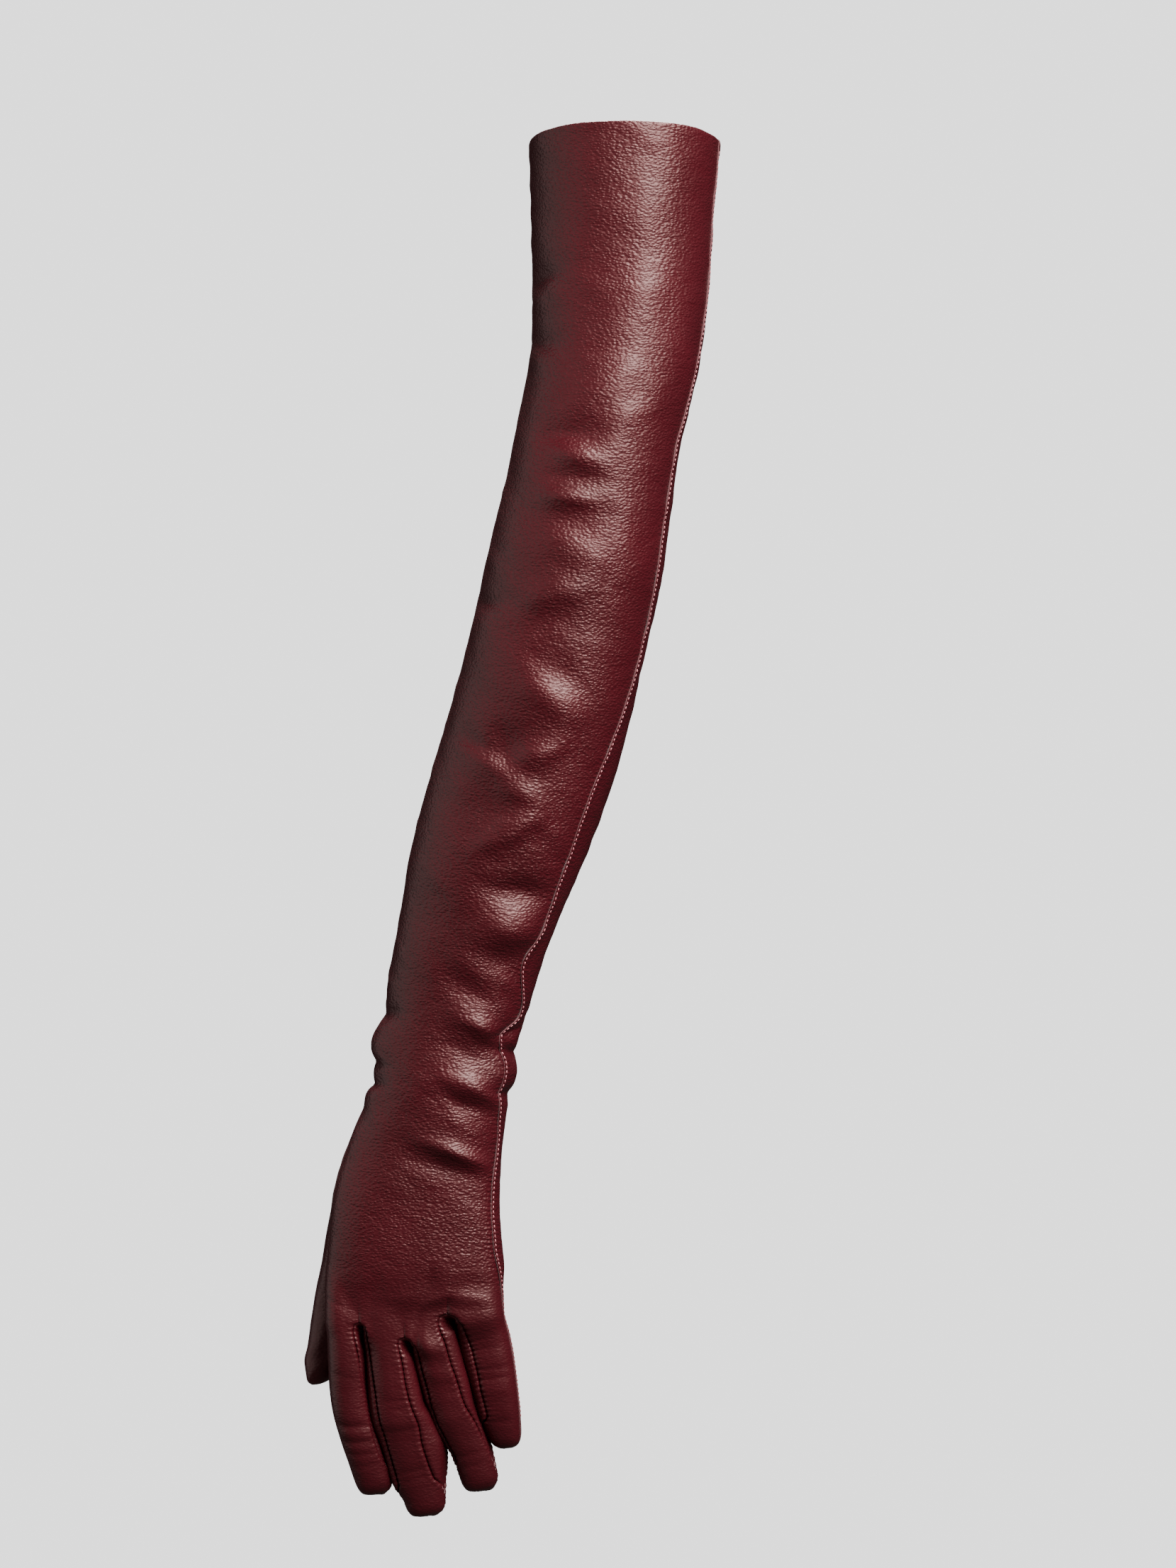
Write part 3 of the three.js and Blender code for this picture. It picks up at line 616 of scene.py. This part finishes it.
# Level and side of every point of the sleeve and hand. The sides go over to the strips' own, and the
# points round the thumb hole are brought onto its oval.
def handPlaces(columns, levels):
    downs, sides = [], []
    last = levels[-1]
    settle = smooth(last - trank["levelling"], last, levels)[:, None]
    for strip in columns:
        down = levels[:, None] + (strip["level"] - last) * settle
        seam = valueAt(outseam["path"], "side", down)
        under, lap = asDegrees(outseam["under"], sleeve, down), asDegrees(outseam["lap"], sleeve, down)
        sleeveSide = seam + under - (360 + under + lap) * strip["around"]
        face, outer = strip["face"], seam + under if strip["face"] == "back" else seam - 360 - lap
        ends = [handSide(crotches[gap][face + "Place"], face) if gap else
                outer if strip["name"] == "little" else 180.0
                for gap in (strip["startGap"], strip["endGap"])]
        sides.append(mix(sleeveSide, mix(*ends, strip["part"]), smooth(*trank["handSides"], down)))
        downs.append(down)
    down, side = np.hstack(downs), np.hstack(sides)
    across = (side - thumbHole["side"]) / thumbHole["reach"]
    along = (down - thumbHole["down"]) / thumbHole["tall"]
    away = np.hypot(across, along)
    keep = (away[:-1, :-1] + away[:-1, 1:] + away[1:, :-1] + away[1:, 1:]) / 4 > 1
    around = np.pad(keep, 1)
    used = around[:-1, :-1] | around[:-1, 1:] | around[1:, :-1] | around[1:, 1:]
    for strip in columns[:-1]:
        both = used[:, strip["last"]] | used[:, strip["last"] + 1]
        used[:, strip["last"]] = used[:, strip["last"] + 1] = both
    scale = np.where(used & (away < 1), 1 / np.maximum(away, 0.3), 1)
    return (thumbHole["down"] + along * scale * thumbHole["tall"],
            thumbHole["side"] + across * scale * thumbHole["reach"], keep)


# Rows over a rounded tip, |v|^n + |w|^n = 1: how far down each is, and every row's part of the width and
# thickness, with full rows before
def tipRows(count, fullRows, roundness=fingerTip["wideRoundness"]):
    angle = np.radians(90) * (np.arange(1, count + 1) / count) ** 1.3
    v = np.sin(angle) ** (2 / roundness)
    wide = np.cos(angle).clip(0) ** (2 / roundness)
    thick = (1 - v ** fingerTip["thickRoundness"]).clip(0) ** (1 / fingerTip["thickRoundness"])
    wide[-1] = thick[-1] = 0
    return v[:, None], *(np.concatenate([np.ones(fullRows), w])[:, None] for w in (wide, thick))


# One strip of the trank, from the oval of the hand to the finger's own. At a gap its edge is drawn to
# the crotch, and the rest by e to the minus square of the distance. It is let go over a quarter circle
# at the edge, and more slowly further in.
def stripSurface(strip, hand, handDown):
    name, face, part, level = (strip[key] for key in ("name", "face", "part", "level"))
    onBack = face == "back"
    straight = fingers[name]["tip"] - fingerTip["length"]
    v, wide, thick = tipRows(trank["tipRows"], len(handDown) + trank["fingerRows"])
    finger = level + (straight - level) * fingerParts()[1:, None]
    down = np.vstack([handDown, finger, straight + fingerTip["length"] * v + 0 * part])
    outerBack, innerBack, innerPalm, outerPalm = seamSides(name, down)
    if name == "little":
        outerBack = outerBack + asDegrees(outseam["under"], fingers[name]["rows"], down)
        outerPalm = outerPalm - asDegrees(outseam["lap"], fingers[name]["rows"], down)
    side = mix(outerBack, innerBack, part) if onBack else mix(innerPalm, outerPalm, part)
    tube = fingerSurface(fingers[name], down, side, wide, thick)
    closed = archAt(down - level)
    for gap, away, second in ((strip["startGap"], part, not onBack), (strip["endGap"], 1 - part, onBack)):
        if gap:
            middle, *own = crotchPoint(crotches[gap], np.array(0.0 if onBack else 1.0))
            near = np.exp(-(away * trank["pull"]) ** 2)[None, :, None]
            tube = tube + near * mix(closed[..., 1:2], closed, near) * (middle - own[second])
    toGap = np.minimum(part if strip["startGap"] else 1, 1 - part if strip["endGap"] else 1)
    reach = mix(*trank["fingersFrom"], smooth(0, 0.5, toGap))
    below = smooth(level - reach, level, handDown)
    tube[:len(handDown)] = mix(hand, tube[:len(handDown)], below[..., None])
    return tube, down, side


# A seam's edge rolls in and then rises in a bead, each as e to the minus square of the distance. The
# stitches pucker it in a wave that dies away as e to the minus distance.
def seamShape(look, away, wave):
    roll = -look["depth"] * np.exp(-(away / look["width"]) ** 2)
    bead = look["bead"] * np.exp(-((away - look["beadAt"]) / look["beadWidth"]) ** 2)
    return roll, bead + look["pucker"] * wave * np.exp(-away / look["reach"])


# The edge at a finger seam, with a slightly uneven wave. Above the crotch it rolls less.
fingerSeam = dict(depth=0.7, width=0.5, above=0.5, bead=0.22, beadAt=1.4, beadWidth=0.8, pucker=0.34,
                  pitch=2.3, reach=1.5, uneven=0.8, unevenLength=3.1)


def edgeRoll(away, below):
    uneven = fingerSeam["uneven"] * np.sin(below / fingerSeam["unevenLength"])
    roll, beside = seamShape(fingerSeam, away, np.cos(2 * np.pi * below / fingerSeam["pitch"] + uneven))
    return roll * mix(fingerSeam["above"], 1.0, smooth(-1, 4, below)) + beside * smooth(-1, 3, below)


# How far a strip's points are moved out: folds, knuckle, rolled edges, the outseam's lap and wrinkles of
# soft noise. Also their distance from the lap's edge.
def stripRelief(strip, surface, down, side, handSides, insets):
    handRows = len(insets)
    name, level, onBack = strip["name"], strip["level"], strip["face"] == "back"
    onHand = foldOut(sleeveFolds, down[:handRows], handSides)
    onHand *= 1 - smooth(level - 8, level - 1, down[:handRows])
    onHand *= 1 - insets[:, None] / trank["hemInset"]
    onFinger = foldOut(fingerFolds[name], down[handRows:], side[handRows:])
    onFinger *= smooth(0, 4, down[handRows:] - level)
    out = np.vstack([onHand, onFinger])
    if onBack and name in knuckles:
        out += knuckleOut(knuckles[name], down, strip["part"])
    fromStart = lengthAlong(surface, 1)
    fromEnd = fromStart[:, -1:] - fromStart
    below = down - level
    for gap, away in ((strip["startGap"], fromStart), (strip["endGap"], fromEnd)):
        if gap:
            out += edgeRoll(np.hypot(away, np.clip(-below, 0, None)), below)
    outer = np.concatenate([insets < trank["hemInset"] / 4, np.ones(len(down) - handRows)])[:, None]
    seam = np.full(down.shape, trank["farFromSeam"])
    if name == "little" and onBack:
        out -= outseam["sink"] * (1 - smooth(*outseam["sinkFades"], fromStart)) * outer
        seam = outseam["lap"] + outseam["under"] - fromStart
    elif name == "little":
        tip = fingers["little"]["tip"]
        lap = outer * smooth(1, 7, down) * (1 - smooth(tip - 9, tip - 1, down))
        out += outseam["rise"] * (1 - smooth(outseam["flat"], outseam["fades"], fromEnd)) * lap
        seam = fromEnd
    turns = trank["wrinklesAround"]
    at = strip["around"] * turns + 0 * down
    calm = 1 - trank["calmHand"] * smooth(415, 450, down) - trank["calmFingers"] * smooth(495, 515, down)
    for finer, share, slant, seed in ((1, 1.0, 1, 3), (2, 0.5, 0, 4)):
        along = down * finer / trank["wrinkleLength"] + at * slant
        out += calm * share * trank["wrinkle"] * softNoise(at * finer, along, turns * finer, seed)
    return out, seam


# The trank's ids: neighbouring strips share a column on the hand, a finger's back and palm share theirs
# over its tip, and its last row is one point
def weldStrips(shape, columns, handRows):
    ids = np.arange(shape[0] * shape[1]).reshape(shape)
    straightRow = handRows + trank["fingerRows"] - 1
    first, last = ({(s["name"], s["face"]): s[end] for s in columns} for end in ("first", "last"))
    for strip in columns[:-1]:
        rows = slice(0, None if strip["endGap"] is None else handRows)
        ids[rows, strip["last"] + 1] = ids[rows, strip["last"]]
    for name in fingers:
        back, palm = (name, "back"), (name, "palm")
        if name != "little":
            ids[straightRow:, last[palm]] = ids[straightRow:, first[back]]
        ids[straightRow:, first[palm]] = ids[straightRow:, last[back]]
        for strip in (back, palm):
            ids[-1, first[strip]:last[strip] + 1] = ids[-1, first[back]]
    return ids


def buildTrank():
    columns = ringColumns()
    levels, insets = sleeveRows()
    handRows = len(levels)
    handDown, handSides, keepHand = handPlaces(columns, levels)
    hand = sleeveSurface(handDown, handSides, insets[:, None])
    made = []
    for strip in columns:
        own = slice(strip["first"], strip["last"] + 1)
        surface, down, side = stripSurface(strip, hand[:, own], handDown[:, own])
        made.append((surface, *stripRelief(strip, surface, down, side, handSides[:, own], insets)))
    points, out, seam = (np.concatenate(arrays, axis=1) for arrays in zip(*made))
    ids = weldStrips(out.shape, columns, handRows)
    keep = np.ones((out.shape[0] - 1, out.shape[1] - 1), bool)
    keep[:handRows - 1] = keepHand
    faces = gridFaces(out.shape, [strip["last"] for strip in columns[:-1]], keep)
    at = trank["checkedAt"]
    row = np.argmin(np.abs(levels - at) + insets * 100)       # the outer row there, not the hem's
    centre = np.array([valueAt(sleeve, "across", at), valueAt(sleeve, "away", at), -at])
    faces, normals = faceOutward(points, ids, faces, row, points[row] - centre)
    weight = np.bincount(ids.ravel(), minlength=ids.size)
    out = (np.bincount(ids.ravel(), out.ravel(), ids.size) / np.maximum(weight, 1))[ids]
    finished = points + normals * out[..., None]
    length = lengthAlong(finished[:, -1], 0)
    outer = slice(trank["hemRows"] + trank["edgeRows"], -trank["tipRows"])
    length -= length[outer.start]
    seamPlace = np.stack([seam, length[:, None] + 0 * seam], axis=-1) / seamUnit
    piece = leatherPiece("trankOfNappa", finished, ids, faces, seamPlace)
    beside = slice(-3, -1)       # the two columns on either side of the stitches
    return piece, dict(points=finished[outer, beside], normals=normals[outer, beside],
                       away=seam[outer, beside], length=length[outer])


trankPiece, seamEdge = buildTrank()
print("trank made:", len(trankPiece.data.polygons), "faces")


# A fourchette: the forked strip up the side of one finger, over the crotch and down the side of the
# next. Its edges follow the edges of the trank.
fourchette = dict(columns=13, gather=0.42, gatherPitch=1.6, gatherReach=5.0, nestling=-1.2,
                  nestlingDepth=7.0, nestlingFrom=8)


# How far both sides of a gap are moved into a soft S: a sine of the depth from their middle. The back
# half goes towards the thumb, the palm half towards the little finger.
def nestling(gap, away, down):
    middle = sum(valueAt(fingers[name]["rows"], "away", down) for name in gap["sides"]) / 2
    turn = np.clip((away - middle) / fourchette["nestlingDepth"], -1, 1)
    begins = smooth(gap["back"], gap["back"] + fourchette["nestlingFrom"], down)
    return fourchette["nestling"] * np.sin(np.pi * turn) * begins


# Its rows go up the first finger and down the second. Its gathers are a cosine of the way round.
def buildFourchette(name, gap):
    part = columnParts(fourchette["columns"], True, True)
    level = crotchLevel(gap, part)
    middle, first, second = crotchPoint(gap, part)
    surfaces, belows = [], []
    for finger, own in zip(gap["sides"], (first, second)):
        straight = fingers[finger]["tip"] - fingerTip["length"]
        down = level + (straight - level) * fingerParts()[:, None]
        surface = gapSurface(finger, down, part, own is first)
        surface[..., 0] -= nestling(gap, surface[..., 1], down) * np.sin(np.pi * part) ** 0.5
        surfaces.append(surface + archAt(down - level) * (middle - own))
        belows.append(down - level)
    points, below = (np.vstack([upward[::-1], downward[1:]]) for upward, downward in (surfaces, belows))
    ids = np.arange(below.size).reshape(below.shape)
    ids[0], ids[-1] = ids[0, 0], ids[-1, 0]
    faces, normals = faceOutward(points, ids, gridFaces(below.shape), (20, 6), (1, 0, 0))
    fromBack = lengthAlong(points, 1)
    out = edgeRoll(fromBack, below) + edgeRoll(fromBack[:, -1:] - fromBack, below)
    turn = np.sign(np.arange(len(below))[:, None] - len(belows[0]) + 1) * below
    out += (fourchette["gather"] * np.cos(2 * np.pi * turn / fourchette["gatherPitch"])
            * np.exp(-(below / fourchette["gatherReach"]) ** 2) * np.sin(np.pi * part) ** 0.7)
    out[[0, -1]] = out[[0, -1], :1]
    return leatherPiece(name + "FourchetteOfNappa", points + normals * out[..., None], ids, faces)


fourchettePieces = {"_".join(("fourchette", *gap["sides"])): buildFourchette(name, gap)
                    for name, gap in crotches.items()}
print("fourchettes made:", len(fourchettePieces))


# The thumb: a tube of leather set into an oval hole in the palm. It starts just over the hole's edge
# and goes over to the ovals of its own sections.
thumb = dict(rows=table(sections, """
    418 -92 14 14 14; 430 -99 16 28 26; 444 -106 20 31 28; 466 -115.5 29 27 24; 489 -122.5 36.5 21 20;
    502 -126 39 20 19; 515 -128.5 40.5 19 18; 527 -131.3 41 17.2 17; 535 -134 41.3 14.8 15;
    542 -138 41.5 9 12"""),
    columns=64, lengthRows=96, tipRows=12, startLevel=462.0, startRise=22.0, joins=0.42, seamLift=0.5,
    overlap=1.07, tipRoundness=2.1, depth=1.1, width=0.7, bead=0.25, beadAt=2, beadWidth=1.1,
    pucker=0.2, pitch=2.3, reach=2.2, wrinkle=0.25, wrinkleLength=6.0, wrinklesAround=8)


def buildThumb():
    side = np.linspace(0, 360, thumb["columns"] + 1)
    c, s = ovalPoint(side, 2)
    seamDown = thumbHole["down"] - thumbHole["tall"] * thumb["overlap"] * s
    seamSide = thumbHole["side"] - thumbHole["reach"] * thumb["overlap"] * c
    lift = thumb["seamLift"] + foldOut(sleeveFolds, seamDown, seamSide)
    base = sleeveSurface(seamDown, seamSide, -lift)
    straight = thumb["rows"]["down"][-1] - fingerTip["length"]
    start = thumb["startLevel"] - thumb["startRise"] * s
    part = np.linspace(0, 1, thumb["lengthRows"])[:, None]
    v, wide, thick = tipRows(thumb["tipRows"], thumb["lengthRows"], thumb["tipRoundness"])
    down = np.vstack([start + (straight - start) * part, straight + fingerTip["length"] * v + 0 * side])
    side = side + 0 * down
    joined = np.vstack([smooth(0, thumb["joins"], part), np.ones((thumb["tipRows"], 1))])
    points = mix(base, fingerSurface(thumb, down, side, wide, thick), joined[..., None])
    ids = np.arange(down.size).reshape(down.shape)
    ids[:, -1] = ids[:, 0]
    ids[-1] = ids[-1, 0]
    faces, normals = faceOutward(points, ids, gridFaces(down.shape), (60, thumb["columns"] // 4), (0, 1, 0))
    fromSeam, roundTo = lengthAlong(points, 0), lengthAlong(base, 0)
    wave = np.cos(2 * np.pi * roundTo / (roundTo[-1] / round(roundTo[-1] / thumb["pitch"])))
    out = foldOut(fingerFolds["thumb"], down, side) + sum(seamShape(thumb, fromSeam, wave))
    turns = side / 360 * thumb["wrinklesAround"]
    noise = softNoise(turns, down / thumb["wrinkleLength"] + turns, thumb["wrinklesAround"], 5)
    out += thumb["wrinkle"] * noise * smooth(0, 6, fromSeam)
    out[:, -1] = out[:, 0]
    out[-1] = out[-1, 0]
    return leatherPiece("thumbOfNappa", points + normals * out[..., None], ids, faces)


thumbPiece = buildThumb()
print("thumb made")


# The outseam's stitches: bars of thread along the lap, just inside its edge. A bar is a row of oval
# rings, as wide as the cosine of their angle to a power.
stitch = dict(fromEdge=1.0, pitch=2.1, long=1.3, wide=0.55, high=0.42, sides=6, rings=5, lift=0.06,
              blunt=0.6, firstAt=1.5, endsBefore=8, looksAhead=0.8)


def buildStitches(edge):
    (a, b), length = edge["away"].T, edge["length"]
    part = ((stitch["fromEdge"] - b) / (a - b))[:, None]
    line = mix(edge["points"][:, 1], edge["points"][:, 0], part)
    up = unit(mix(edge["normals"][:, 1], edge["normals"][:, 0], part))

    def alongSeam(values, at):
        return np.stack([np.interp(at, length, values[:, i]) for i in range(3)], axis=-1)

    count = int((length[-1] - stitch["endsBefore"]) / stitch["pitch"])
    at = stitch["pitch"] * (np.arange(count) + stitch["firstAt"])
    middle = alongSeam(line, at)
    upAt = unit(alongSeam(up, at))
    along = unit(alongSeam(line, at + stitch["looksAhead"]) - middle)
    across = unit(np.cross(upAt, along))
    turn = np.linspace(0, 2 * np.pi, stitch["sides"], endpoint=False)
    rise = np.linspace(-np.pi / 2, np.pi / 2, stitch["rings"])[:, None]
    x = (stitch["long"] / 2) * np.sin(rise) + 0 * turn
    y = (stitch["wide"] / 2) * np.cos(rise) ** stitch["blunt"] * np.cos(turn)
    z = (stitch["high"] / 2) * np.cos(rise) ** stitch["blunt"] * np.sin(turn) + stitch["lift"]
    bars = middle[:, None, None] + sum(
        size[None, ..., None] * way[:, None, None] for size, way in ((x, along), (y, across), (z, upAt)))
    ids = np.arange(count * x.size).reshape(count, *x.shape)
    after = np.roll(ids, -1, axis=2)
    faces = np.stack([ids[:, 1:], after[:, 1:], after[:, :-1], ids[:, :-1]], axis=-1)
    ids[:, 0], ids[:, -1] = ids[:, 0, :1], ids[:, -1, :1]
    return meshPiece("outseamStitches", bars, ids, faces.reshape(-1, 4), [sewing])


stitchPiece = buildStitches(seamEdge)
print("stitches made:", len(stitchPiece.data.polygons), "faces")

for node, piece in {"trank": trankPiece, "thumb": thumbPiece, **fourchettePieces}.items():
    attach(piece, "root")
    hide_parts(node)
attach(stitchPiece, "root")


# The studio: a paper floor that curves up into a backdrop over a quarter circle. It is pale to the
# camera and dark to all else, as if screened off by black flags.
stage = dict(floor=-1.3, back=4.6, front=-4.0, wide=8.0, high=4.2, bend=0.6, flag="#2c2c2c", glow=2.0)


def makeStage():
    turn = np.linspace(0, np.pi / 2, 17)
    curve = stage["back"] - stage["bend"] + stage["bend"] * np.sin(turn)
    y = np.concatenate([[stage["front"]], curve, [stage["back"]]])[:, None]
    rise = stage["bend"] * (1 - np.cos(turn))
    z = np.concatenate([[0], rise, [stage["high"]]])[:, None] + stage["floor"]
    x = np.linspace(-stage["wide"] / 2, stage["wide"] / 2, 3)
    points = np.stack(np.broadcast_arrays(x, y, z), axis=-1) / metre
    ids = np.arange(points.shape[0] * 3).reshape(-1, 3)
    material, tree = newMaterial("palePaper")
    pale = addNode(tree, "Emission", {"Color": colour("#ffffff"), "Strength": stage["glow"]})
    flag = addNode(tree, "BsdfDiffuse", {"Color": colour(stage["flag"])})
    seen = addNode(tree, "LightPath").outputs["Is Camera Ray"]
    addNode(tree, "OutputMaterial", {"Surface": addNode(tree, "MixShader", {0: seen, 1: flag, 2: pale})})
    meshPiece("backdrop", points, ids, gridFaces(ids.shape), [material])


# Lights: place, target and size in metres, power in watts, colour
warm, aim = "#fff3ee", (-0.05, 0, -0.3)
lights = {
    "mainSoftbox": ((0.98, -1.48, 1.2), aim, (1.2, 2.0), 235, warm),
    "lowerSoftbox": ((1.0, -2.15, -0.2), aim, (1.2, 0.9), 10, warm),
    "leftPanel": ((-1.45, -0.3, -0.2), (0, 0, -0.25), (2.3, 2.2), 13, "#fff6f4"),
    "backSoftbox": ((0.1, 1.3, 2.0), aim, (1.3, 1.3), 260, warm),
}
world = dict(seen=2.0, unseen=0.06)      # its brightness for the camera, as the paper's, and for all else


def makeLights():
    for name, (place, target, size, power, tint) in lights.items():
        data = bpy.data.lights.new(name, "AREA")
        data.shape = "RECTANGLE"
        data.size, data.size_y = size
        data.energy = power
        data.color = colour(tint)[:3]
        made = addObject(name, data)
        made.location = place
        x, y, z = np.subtract(target, place)
        made.rotation_euler = (math.atan2(math.hypot(x, y), -z), 0, math.atan2(-x, y))
        made.visible_camera = False
    studio = bpy.data.worlds.new("studio")
    studio.use_nodes = True
    tree = studio.node_tree
    background = tree.nodes["Background"]
    background.inputs["Color"].default_value = colour("#ffffff")
    seen = addNode(tree, "LightPath").outputs["Is Camera Ray"]
    strength = addNode(tree, "MapRange", {
        "Value": seen, "To Min": world["unseen"], "To Max": world["seen"]})
    tree.links.new(strength.outputs["Result"], background.inputs["Strength"])
    bpy.context.scene.world = studio


makeStage()
makeLights()
print("studio made")
